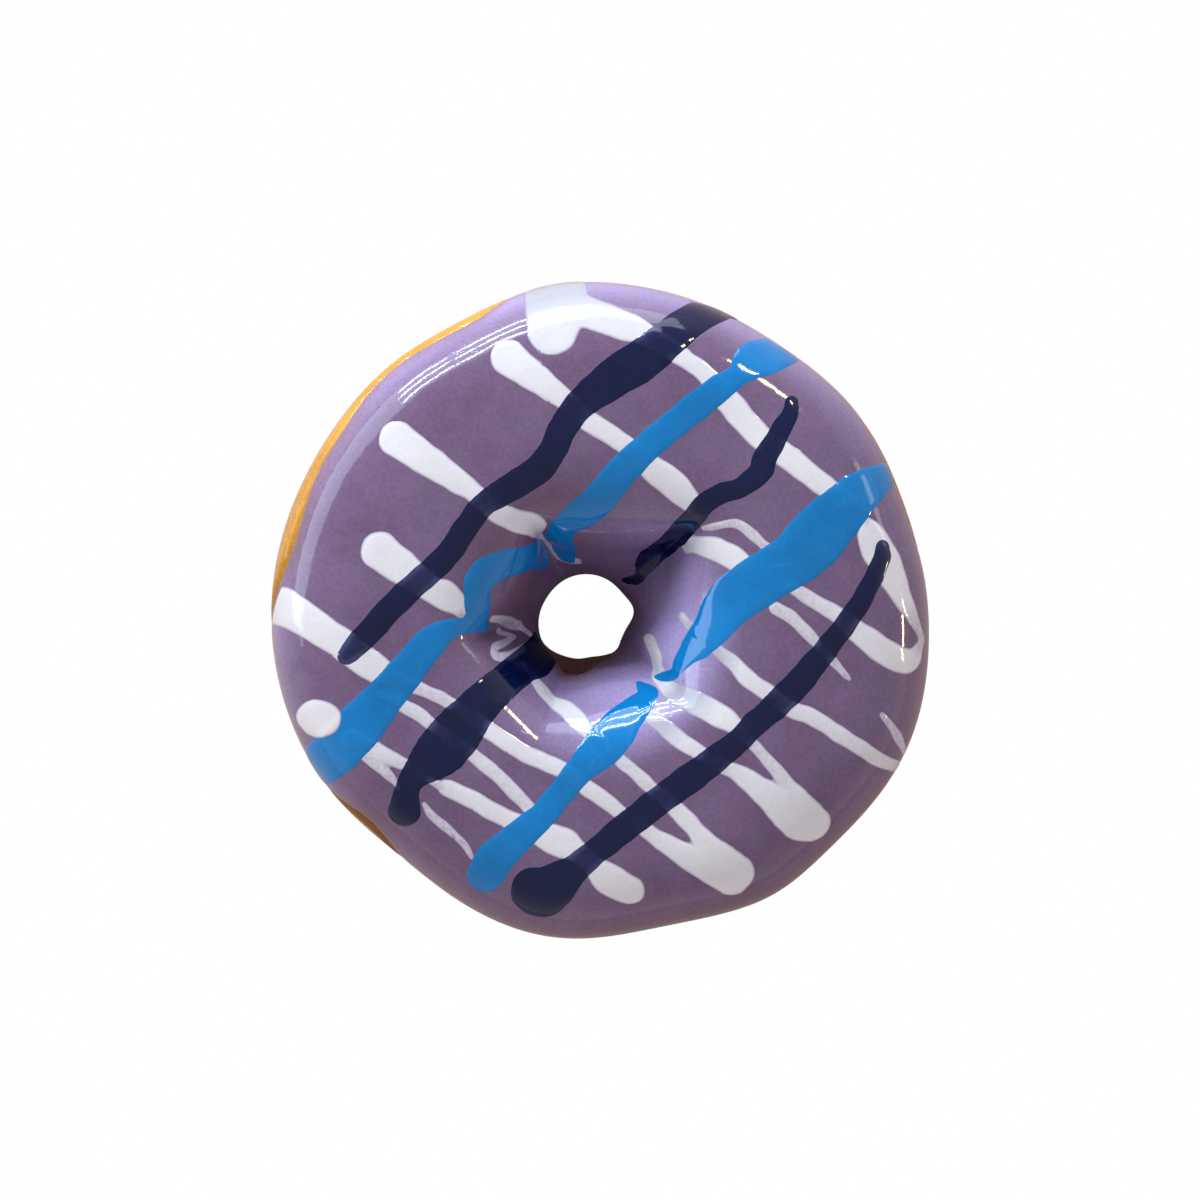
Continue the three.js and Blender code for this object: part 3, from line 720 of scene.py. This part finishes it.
def make_speckle():
    group, place, end = new_group("glaze_speckle", ["Speckle", "Mottle", "Pool"])
    effects = [
        ("Speckle", SPECKLE_SCALE, 2, GRAIN_RANGE), ("Mottle", MOTTLE_SCALE, 4, GRAIN_RANGE),
        ("Pool", POOL_SCALE, 2, POOL_RANGE),
    ]
    for label, scale, detail, span in effects:
        group.links.new(ramp_value(group, noise(group, place, scale, detail), *span), end.inputs[label])
    return group


speckle_group = make_speckle()
print(speckle_group.name)

# %% [markdown]
# The crackle. Glaze shrinks more than clay as it cools, so it tears into a net of cells. Voronoi cells
# have the same kind of borders, and a noise bends them so that no crack is straight.

# %% Group: crackle
CRACKLE_SCALE = 210
CRACKLE_WARP = 0.0015
CRACKLE_WIDTH = 0.011
# Only some of the cracks show, in patches a little larger than a cell
CRACKLE_PATCHES = (0.45, 0.62)
CRACKLE_PATCH_SCALE = CRACKLE_SCALE * 0.6


def make_crackle():
    group, place, end = new_group("glaze_crackle", ["Crack"])
    bend = group.nodes.new("ShaderNodeTexNoise")
    bend.inputs["Scale"].default_value = CRACKLE_SCALE
    group.links.new(place, bend.inputs["Vector"])
    push = group.nodes.new("ShaderNodeVectorMath")
    push.operation = "MULTIPLY_ADD"
    push.inputs[1].default_value = (CRACKLE_WARP,) * 3
    group.links.new(bend.outputs["Color"], push.inputs[0])
    group.links.new(place, push.inputs[2])
    cells = group.nodes.new("ShaderNodeTexVoronoi")
    cells.feature = "DISTANCE_TO_EDGE"
    cells.inputs["Scale"].default_value = CRACKLE_SCALE
    group.links.new(push.outputs[0], cells.inputs["Vector"])
    line = ramp_value(group, cells.outputs["Distance"], 0, CRACKLE_WIDTH, 1, 0)
    patchy = ramp_value(group, noise(group, place, CRACKLE_PATCH_SCALE, 2), *CRACKLE_PATCHES)
    group.links.new(math_node(group, "MULTIPLY", line, patchy), end.inputs["Crack"])
    return group


crackle_group = make_crackle()
print(crackle_group.name)

# %% [markdown]
# The pinholes. A bubble that bursts in the kiln leaves a dot. Each Voronoi cell has one dot at its centre,
# and a cell's random colour decides whether its dot shows, which keeps them rare.

# %% Group: pinholes
PINHOLE_SCALE = 420
PINHOLE_SIZE = 0.11
PINHOLE_CORE = 0.055
# A cell's random value has to be above this for its pinhole to show
PINHOLE_RARITY = 0.975


def make_pinholes():
    group, place, end = new_group("glaze_pinholes", ["Hole"])
    cells = group.nodes.new("ShaderNodeTexVoronoi")
    cells.inputs["Scale"].default_value = PINHOLE_SCALE
    group.links.new(place, cells.inputs["Vector"])
    dot = ramp_value(group, cells.outputs["Distance"], PINHOLE_CORE, PINHOLE_SIZE, 1, 0)
    pick = group.nodes.new("ShaderNodeSeparateColor")
    group.links.new(cells.outputs["Color"], pick.inputs[0])
    chosen = math_node(group, "GREATER_THAN", pick.outputs[0], PINHOLE_RARITY)
    group.links.new(math_node(group, "MULTIPLY", dot, chosen), end.inputs["Hole"])
    return group


pinhole_group = make_pinholes()
print(pinhole_group.name)

# %% [markdown]
# The glazes themselves. A clear layer could be stacked over a matt one, but these glazes are one glassy
# layer, so each is a single shader with a low roughness. Its colour comes from a base colour that the
# shared groups darken, lighten and speckle, and the same masks feed a fine bump. Where a line is thin, the
# glaze under it shows through: a mottled lilac under white, and a paler tone where navy crosses white.

# %% Helpers: masks and bump of a glaze
BUMP_DISTANCE = 0.0001
BUMP_STRENGTH = 0.35
# Heights of the effects in the bump, as shares of its distance
SPECKLE_HEIGHT = 0.03
CRACK_DEPTH = 0.08
MOTTLE_HEIGHT = 0.35
POOL_HEIGHT = 1.6


def attribute_value(tree, name):
    node = tree.nodes.new("ShaderNodeAttribute")
    node.attribute_name = name
    return node.outputs["Fac"]


def shown_masks(tree):
    place = tree.nodes.new("ShaderNodeTexCoord").outputs["Object"]
    masks = {}
    for group in (speckle_group, crackle_group, pinhole_group):
        node = tree.nodes.new("ShaderNodeGroup")
        node.node_tree = group
        tree.links.new(place, node.inputs["Place"])
        for output in node.outputs:
            masks[output.name] = output
    return masks, place


def glassy_bump(tree, masks, shader):
    height = math_node(tree, "MULTIPLY", masks["Speckle"], SPECKLE_HEIGHT)
    height = math_node(tree, "SUBTRACT", height, math_node(tree, "MULTIPLY", masks["Crack"], CRACK_DEPTH))
    height = math_node(tree, "SUBTRACT", height, masks["Hole"])
    height = math_node(tree, "ADD", height, math_node(tree, "MULTIPLY", masks["Mottle"], MOTTLE_HEIGHT))
    height = math_node(tree, "ADD", height, math_node(tree, "MULTIPLY", masks["Pool"], POOL_HEIGHT))
    bump = tree.nodes.new("ShaderNodeBump")
    bump.inputs["Strength"].default_value = BUMP_STRENGTH
    bump.inputs["Distance"].default_value = BUMP_DISTANCE
    tree.links.new(height, bump.inputs["Height"])
    tree.links.new(bump.outputs["Normal"], shader.inputs["Normal"])


# %% Helper: glaze material
GLAZE_ROUGHNESS = 0.07
GLAZE_IOR = 1.5
# How far the effects change the colour
POOL_DARKENS = 0.8
MOTTLE_LIGHTENS = 0.3
PINHOLE_DARKENS = 0.6


def glaze(name, base, dark, light, speckle, crack, crack_colour, tint=None, shine=0.5):
    material = bpy.data.materials.new(name)
    material.use_nodes = True
    tree = material.node_tree
    shader = tree.nodes["Principled BSDF"]
    shader.inputs["Roughness"].default_value = GLAZE_ROUGHNESS
    shader.inputs["IOR"].default_value = GLAZE_IOR
    shader.inputs["Specular IOR Level"].default_value = shine
    masks, place = shown_masks(tree)
    base, dark, light, crack_colour = (colour(*tone) for tone in (base, dark, light, crack_colour))
    shade = mix_colour(tree, math_node(tree, "MULTIPLY", masks["Pool"], POOL_DARKENS), base, dark)
    shade = mix_colour(tree, math_node(tree, "MULTIPLY", masks["Mottle"], MOTTLE_LIGHTENS), shade, light)
    if tint:
        shade = tint(tree, masks, place, shade)
    grain = math_node(tree, "MULTIPLY", math_node(tree, "SUBTRACT", masks["Speckle"], 0.5), speckle)
    grained = tree.nodes.new("ShaderNodeHueSaturation")
    tree.links.new(math_node(tree, "ADD", grain, 1.0), grained.inputs["Value"])
    tree.links.new(shade, grained.inputs["Color"])
    cracked = mix_colour(
        tree, math_node(tree, "MULTIPLY", masks["Crack"], crack), grained.outputs["Color"], crack_colour)
    holed = mix_colour(tree, math_node(tree, "MULTIPLY", masks["Hole"], PINHOLE_DARKENS), cracked, dark)
    tree.links.new(holed, shader.inputs["Base Color"])
    glassy_bump(tree, masks, shader)
    return material


# %% [markdown]
# Tints. Thin glaze lets what is under it show, and some tints are painted light and shade: a side made
# lighter or darker by how it faces the window. Each tint is a function that adds its nodes to a glaze, and
# it reads the attributes that the meshes carry: the distance inside a line, the half-width of the line, the
# distance from the hem, and the sides with painted light and painted shade. Heights and distances from the
# axis are read from Object coordinates, in metres.

# %% Tint: thin white
# Half-widths of a line over which the glaze goes from thin to full, and the width of its thin edge
THIN_BODY = (0.5, 1.6)
THIN_BODY_SHARE = 0.6
THIN_EDGE = 0.4
THIN_EDGE_SHARE = 0.7
# Mottling of a thin line: scale, detail and roughness of its noise, then its range and least share
MOTTLED_NOISE = (1500, 5, 0.7)
MOTTLED_RANGE = (0.35, 0.65)
MOTTLED_LEAST = 0.4
# Painted shade: the white is darkened towards a grey lilac on the side that faces the window, to hold its
# light down
WHITE_PAINTED_DIMMING = 0.66
PAINTED_DIM_WHITE = colour(122, 128, 156)
LILAC_UNDER_WHITE = colour(150, 130, 168)


def white_tint(tree, masks, place, shade):
    thin_line = ramp_value(tree, attribute_value(tree, "body"), *THIN_BODY, THIN_BODY_SHARE, 0.0)
    patches = ramp_value(tree, noise(tree, place, *MOTTLED_NOISE), *MOTTLED_RANGE, MOTTLED_LEAST, 1.0)
    thin = math_node(tree, "MULTIPLY", thin_line, patches)
    edge = ramp_value(tree, attribute_value(tree, "inside"), 0.0, THIN_EDGE, THIN_EDGE_SHARE, 0.0)
    thin_side = math_node(tree, "MULTIPLY", attribute_value(tree, "thin_side"), WHITE_PAINTED_DIMMING)
    shade = mix_colour(tree, thin_side, shade, PAINTED_DIM_WHITE)
    return mix_colour(tree, math_node(tree, "MAXIMUM", thin, edge), shade, LILAC_UNDER_WHITE)


# %% Tint: a colour over white
# Distances inside the white line and inside the line over it, from where white starts to come through
CROSSING_RANGE = (-0.1, 0.4)
CROSSING_EDGE = (0.2, 1.2)
# It comes through in patches: scale, detail and roughness of their noise, then its range and least share
PATCH_NOISE = (110, 4, 0.6)
PATCH_RANGE = (0.42, 0.66)
PATCH_LEAST = 0.1


def over_white(colour_over, share_thick, share_thin):
    def tint(tree, masks, place, shade):
        crossing = ramp_value(tree, attribute_value(tree, "over_white"), *CROSSING_RANGE)
        thin = ramp_value(tree, attribute_value(tree, "inside"), *CROSSING_EDGE, share_thin, share_thick)
        patches = ramp_value(tree, noise(tree, place, *PATCH_NOISE), *PATCH_RANGE, PATCH_LEAST, 1.0)
        cover = math_node(tree, "MULTIPLY", math_node(tree, "MULTIPLY", crossing, thin), patches)
        return mix_colour(tree, cover, shade, colour_over)
    return tint


# %% Tint: the purple coat
# Distances from the hem over which its warm tone fades, then how far each tint goes
HEM_RANGE = (0.2, 5.0)
HEM_SHARE = 0.7
# Painted light: a pale lavender where the coat faces the window. Painted shade: a darker purple on the
# sides across from it.
PURPLE_PAINTED_LIGHT = 0.96
PURPLE_PAINTED_SHADE = 0.6
PAINTED_LIGHT_PURPLE = colour(182, 168, 222)
PAINTED_SHADE_PURPLE = colour(118, 84, 100)
WARM_HEM = colour(134, 96, 104)


def hem_and_painted_light_tint(tree, masks, place, shade):
    near_hem = ramp_value(tree, attribute_value(tree, "from_hem"), *HEM_RANGE, HEM_SHARE, 0.0)
    # The attribute thin carries the painted light, and the next one the painted shade
    thin = math_node(tree, "MULTIPLY", attribute_value(tree, "thin"), PURPLE_PAINTED_LIGHT)
    painted_shade_side = math_node(tree, "MULTIPLY", attribute_value(tree, "painted_shade_side"), PURPLE_PAINTED_SHADE)
    shade = mix_colour(tree, thin, shade, PAINTED_LIGHT_PURPLE)
    shade = mix_colour(tree, painted_shade_side, shade, PAINTED_SHADE_PURPLE)
    return mix_colour(tree, near_hem, shade, WARM_HEM)


# %% Tint: painted shade on the clay
# The clay is painted darker, as shade, below these heights and inside these distances from the axis, in
# metres
SHADE_HEIGHT = (0.003, 0.012)
SHADE_LOW_SHARE = 0.8
SHADE_HOLE_RADIUS = (0.012, 0.02)
SHADED_LOW_CLAY = colour(100, 60, 28)
SHADED_HOLE_CLAY = colour(146, 108, 96)


def painted_shade_tint(tree, masks, place, shade):
    height = tree.nodes.new("ShaderNodeSeparateXYZ")
    tree.links.new(place, height.inputs[0])
    low = ramp_value(tree, height.outputs["Z"], *SHADE_HEIGHT, SHADE_LOW_SHARE, 0.0)
    from_axis = tree.nodes.new("ShaderNodeVectorMath")
    from_axis.operation = "LENGTH"
    flat = tree.nodes.new("ShaderNodeCombineXYZ")
    tree.links.new(height.outputs["X"], flat.inputs["X"])
    tree.links.new(height.outputs["Y"], flat.inputs["Y"])
    tree.links.new(flat.outputs[0], from_axis.inputs[0])
    in_hole = ramp_value(tree, from_axis.outputs["Value"], *SHADE_HOLE_RADIUS, 1.0, 0.0)
    # Painted shade: darker low down, on the side away from the light, and in the hole
    painted_shade_share = math_node(tree, "MAXIMUM", low, attribute_value(tree, "clay_shaded_side"))
    shaded_clay = mix_colour(tree, painted_shade_share, shade, SHADED_LOW_CLAY)
    return mix_colour(tree, in_hole, shaded_clay, SHADED_HOLE_CLAY)


# %% [markdown]
# The five glazes. Each has a base colour, a darker one for pools and a lighter one for mottling, in the
# usual 0 to 255 of a colour picker. They aren't the colours one sees, because the dim room and the gloss
# shift each of them, so they were set by comparing renders with the photo.

# %% Colours of the glazes
NAVY_OVER_WHITE = colour(84, 88, 140)
BLUE_OVER_WHITE = colour(40, 142, 212)

purple_glaze = glaze(
    "purple_glaze", (123, 100, 134), (112, 88, 120), (136, 112, 150),
    speckle=0.16, crack=0.06, crack_colour=(176, 160, 190), tint=hem_and_painted_light_tint)
white_glaze = glaze(
    "white_glaze", (243, 242, 248), (234, 233, 241), (248, 247, 251),
    speckle=0.05, crack=0.06, crack_colour=(180, 172, 186), tint=white_tint)
blue_glaze = glaze(
    "blue_glaze", (4, 132, 208), (3, 118, 186), (10, 142, 217),
    speckle=0.1, crack=0.24, crack_colour=(90, 170, 224),
    tint=over_white(BLUE_OVER_WHITE, 0.15, 0.4))
navy_glaze = glaze(
    "navy_glaze", (6, 19, 65), (4, 14, 53), (13, 28, 80),
    speckle=0.2, crack=0.12, crack_colour=(70, 78, 130),
    tint=over_white(NAVY_OVER_WHITE, 0.15, 0.6))
ochre_clay = glaze(
    "ochre_clay", (232, 168, 62), (214, 150, 52), (240, 182, 80),
    speckle=0.16, crack=0.06, crack_colour=(120, 80, 40), tint=painted_shade_tint, shine=0.25)
print("materials", len(bpy.data.materials))

# %% [markdown]
# Each piece gets its glaze and is told which body it rides on, and the node of the solids that it takes the
# place of is hidden, so that the two parts of the work stay in one frame. The table also names a material
# slot for each piece, which nothing reads.

# %% Dress the pieces
PIECES = [
    (clay_ring, ochre_clay, "ochre_clay", "ring"),
    (icing_coat, purple_glaze, "purple_glaze", "icing"),
    (white_drizzle, white_glaze, "white_glaze", "icing"),
    (white_drop, white_glaze, "white_glaze", "icing"),
    (blue_drizzle, blue_glaze, "blue_glaze", "icing"),
    (navy_drizzle, navy_glaze, "navy_glaze", "icing"),
]
for piece, material, slot, node in PIECES:
    piece.data.materials.append(material)
    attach(piece, "root")
    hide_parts(node)
print("pieces", len(PIECES))

# %% [markdown]
# The set. The photo looks straight down on white, with a cool window low on the upper left and little
# else, so the rim towards the window is pale and the flat top is dim. The floor shows as plain white to
# the camera and is darker to everything else, or it would light the underside as snow does.

# %% Floor
FLOOR_HALF = 1.5
FLOOR_BOUNCE = (0.70, 0.58, 0.52, 1.0)
FLOOR_ROUGHNESS = 0.9

floor_bm = bmesh.new()
bmesh.ops.create_grid(floor_bm, x_segments=1, y_segments=1, size=FLOOR_HALF)
floor = mesh_object("floor", floor_bm)
floor_material = bpy.data.materials.new("pale_floor")
floor_material.use_nodes = True
tree = floor_material.node_tree
bounce = tree.nodes["Principled BSDF"]
bounce.inputs["Base Color"].default_value = FLOOR_BOUNCE
bounce.inputs["Roughness"].default_value = FLOOR_ROUGHNESS
shown = tree.nodes.new("ShaderNodeEmission")
shown.inputs["Strength"].default_value = 1.0
chooser = tree.nodes.new("ShaderNodeMixShader")
tree.links.new(tree.nodes.new("ShaderNodeLightPath").outputs["Is Camera Ray"], chooser.inputs[0])
tree.links.new(bounce.outputs[0], chooser.inputs[1])
tree.links.new(shown.outputs[0], chooser.inputs[2])
tree.links.new(chooser.outputs[0], tree.nodes["Material Output"].inputs["Surface"])
floor.data.materials.append(floor_material)
print("floor", 2 * FLOOR_HALF, "m")

# %% [markdown]
# The room around it. Glaze mirrors the room, so its tone decides how dim the flat top looks. A picture of a
# real room would bring in things that aren't known, so the world is a plain fade from the walls to above.

# %% World
# The room is warm and brightest low down, and dark overhead
ROOM_LOW = (0.82, 0.74, 0.74, 1.0)
ROOM_OVERHEAD = (0.37, 0.355, 0.365, 1.0)
# The upward part of a direction at which the fade is complete
OVERHEAD_FROM = 0.75

world = bpy.data.worlds.new("dim_room")
bpy.context.scene.world = world
world.use_nodes = True
tree = world.node_tree
way = tree.nodes.new("ShaderNodeSeparateXYZ")
tree.links.new(tree.nodes.new("ShaderNodeTexCoord").outputs["Generated"], way.inputs[0])
overhead = ramp_value(tree, way.outputs["Z"], 0.0, OVERHEAD_FROM)
room_tone = mix_colour(tree, overhead, ROOM_LOW, ROOM_OVERHEAD)
tree.links.new(room_tone, tree.nodes["Background"].inputs["Color"])
print("world", world.name)

# %% [markdown]
# The lights. Gloss shows the shape of a light, so the window is built from its nine panes, and the gaps
# between them are its bars. A wide pale wall around it gives the long soft sheen on the rim. The small
# lamps are only there to be mirrored, so they light nothing.

# %% Helper: area light
LIGHT_DISTANCE = 0.7
TARGET = Vector((0, 0, 0.02))


def area_light(name, azimuth, elevation, distance, width, height, power, tint):
    data = bpy.data.lights.new(name, "AREA")
    data.shape = "RECTANGLE"
    data.size = width
    data.size_y = height
    data.energy = power
    data.color = tint
    light = bpy.data.objects.new(name, data)
    bpy.context.scene.collection.objects.link(light)
    way = Vector((cos(radians(azimuth)) * cos(radians(elevation)),
                  sin(radians(azimuth)) * cos(radians(elevation)), sin(radians(elevation))))
    light.location = TARGET + way * distance
    light.rotation_euler = way.to_track_quat("Z", "Y").to_euler()
    return light


# %% Lights
# The window has three rows of three panes, with bars between them, in a wide pale wall. The wall is two
# lights in one place, because it has to show more in the glaze than it lights the top.
WINDOW_AZIMUTH = 112
WINDOW_ELEVATION = 17
PANE_WIDTH = 0.15
PANE_HEIGHT = 0.018
PANE_GAP_AZIMUTH = 14.5
PANE_GAP_ELEVATION = 10
PANE_POWER = 0.45
WALL_AZIMUTH = 128
WALL_DISTANCE = 0.9
WALL_WIDTH = 2.7
WALL_HEIGHT = 0.5
WALL = (WALL_DISTANCE, WALL_WIDTH, WALL_HEIGHT)
GLOW_ELEVATION = 26
WALL_GLOW_POWER = 6.0
WALL_SHINE_POWER = 17.0
# The rest of the room gives a little warm light from the other side
ROOM_AZIMUTH = 280
ROOM_ELEVATION = 42
ROOM_SIZE = 1.0
ROOM_POWER = 0.9
ROOMLIGHT = (1.0, 0.86, 0.80)
DAYLIGHT = (0.84, 0.93, 1.0)
SKYLIGHT = (0.67, 0.80, 1.0)
LAMPLIGHT = (1.0, 0.78, 0.42)
# Name, azimuth, elevation, width, height, power and tint of what is only mirrored
LAMPS = [
    ("lamp_upper_right", 52, 34, 0.10, 0.045, 0.9, LAMPLIGHT),
    ("lamp_right", -2, 14, 0.13, 0.025, 0.7, LAMPLIGHT),
    ("doorway", 21, 17, 0.14, 0.09, 0.12, DAYLIGHT),
]

wall_glow = area_light("wall_glow", WALL_AZIMUTH, GLOW_ELEVATION, *WALL, WALL_GLOW_POWER, DAYLIGHT)
wall_glow.visible_glossy = False
wall_shine = area_light("wall_shine", WALL_AZIMUTH, WINDOW_ELEVATION, *WALL, WALL_SHINE_POWER, SKYLIGHT)
wall_shine.visible_diffuse = False
room_glow = area_light("room_glow", ROOM_AZIMUTH, ROOM_ELEVATION,
                       WALL_DISTANCE, ROOM_SIZE, ROOM_SIZE, ROOM_POWER, ROOMLIGHT)
room_glow.visible_glossy = False
for column in (-1, 0, 1):
    for row in (-1, 0, 1):
        area_light(f"pane_{column + 1}_{row + 1}", WINDOW_AZIMUTH + column * PANE_GAP_AZIMUTH,
                   WINDOW_ELEVATION + row * PANE_GAP_ELEVATION, LIGHT_DISTANCE,
                   PANE_WIDTH, PANE_HEIGHT, PANE_POWER, DAYLIGHT)
for name, azimuth, elevation, width, height, power, tint in LAMPS:
    lamp = area_light(name, azimuth, elevation, LIGHT_DISTANCE, width, height, power, tint)
    lamp.visible_diffuse = False
print("lights", len(bpy.data.lights))

# %% [markdown]
# The camera. It looks down from 60 cm, a usual distance for such a picture, and its lens follows from the
# length of a pixel on the ring. Clay shows on the upper left only, so it leans a little to that side.

# %% Camera
PHOTO_SIZE = 1200
MM_PER_PIXEL = 0.153
CAMERA_DISTANCE = 0.6
AIM = Vector((0, 0.0015, 0.014))
# Degrees away from straight down, and the direction from the middle towards which the camera leans
CAMERA_TILT = 2.5
TILT_TOWARDS = 125
SENSOR = 36.0

camera_data = bpy.data.cameras.new("camera")
camera_data.sensor_width = SENSOR
camera_data.lens = SENSOR * CAMERA_DISTANCE / (PHOTO_SIZE * MM_PER_PIXEL * MM)
camera = bpy.data.objects.new("camera", camera_data)
bpy.context.scene.collection.objects.link(camera)
back = Vector((sin(radians(CAMERA_TILT)) * cos(radians(TILT_TOWARDS)),
               sin(radians(CAMERA_TILT)) * sin(radians(TILT_TOWARDS)), cos(radians(CAMERA_TILT))))
right = Vector((0, 1, 0)).cross(back).normalized()
up = back.cross(right)
turn = Matrix((right, up, back)).transposed()
camera.matrix_world = Matrix.Translation(AIM + back * CAMERA_DISTANCE) @ turn.to_4x4()
bpy.context.scene.camera = camera
bpy.context.scene.view_settings.view_transform = "Standard"
print("lens", round(camera_data.lens, 1), "mm")
